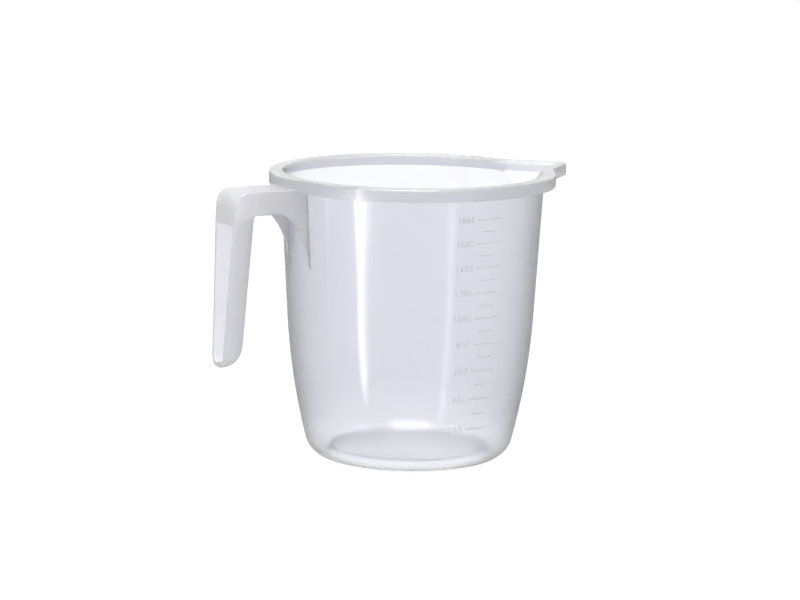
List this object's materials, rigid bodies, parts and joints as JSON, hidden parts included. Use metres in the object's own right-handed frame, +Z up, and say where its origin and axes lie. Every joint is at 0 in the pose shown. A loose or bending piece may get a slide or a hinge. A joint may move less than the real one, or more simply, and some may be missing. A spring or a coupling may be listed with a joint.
{
  "type": "measuring jug",
  "caption": "Clear plastic measuring jug with a tapered bowl, a flat-topped rim band, a vee spout, an open hooked handle and a raised volume scale.",
  "frame": {"origin": "centre of the base, on the plane that the jug stands on", "axes": "+Z up along the bowl's axis, +X towards the spout with the handle along -X, and the volume scale facing -Y"},
  "size_m": [0.2155, 0.1574, 0.1585],
  "materials": {
    "clear_plastic": "milky clear polypropylene, smooth with a soft gloss",
    "scale_relief": "the same polypropylene, raised from the wall"
  },
  "bodies": {
    "root": {"bowl_wall": "clear_plastic", "foot_ring": "clear_plastic", "floor_panel": "clear_plastic", "rim_flange": "clear_plastic", "rim_band": "clear_plastic", "pouring_spout": "clear_plastic", "handle_arm": "clear_plastic", "handle_grip": "clear_plastic", "long_marks": "scale_relief", "short_marks": "scale_relief", "scale_numerals": "scale_relief"}
  },
  "joints": []
}
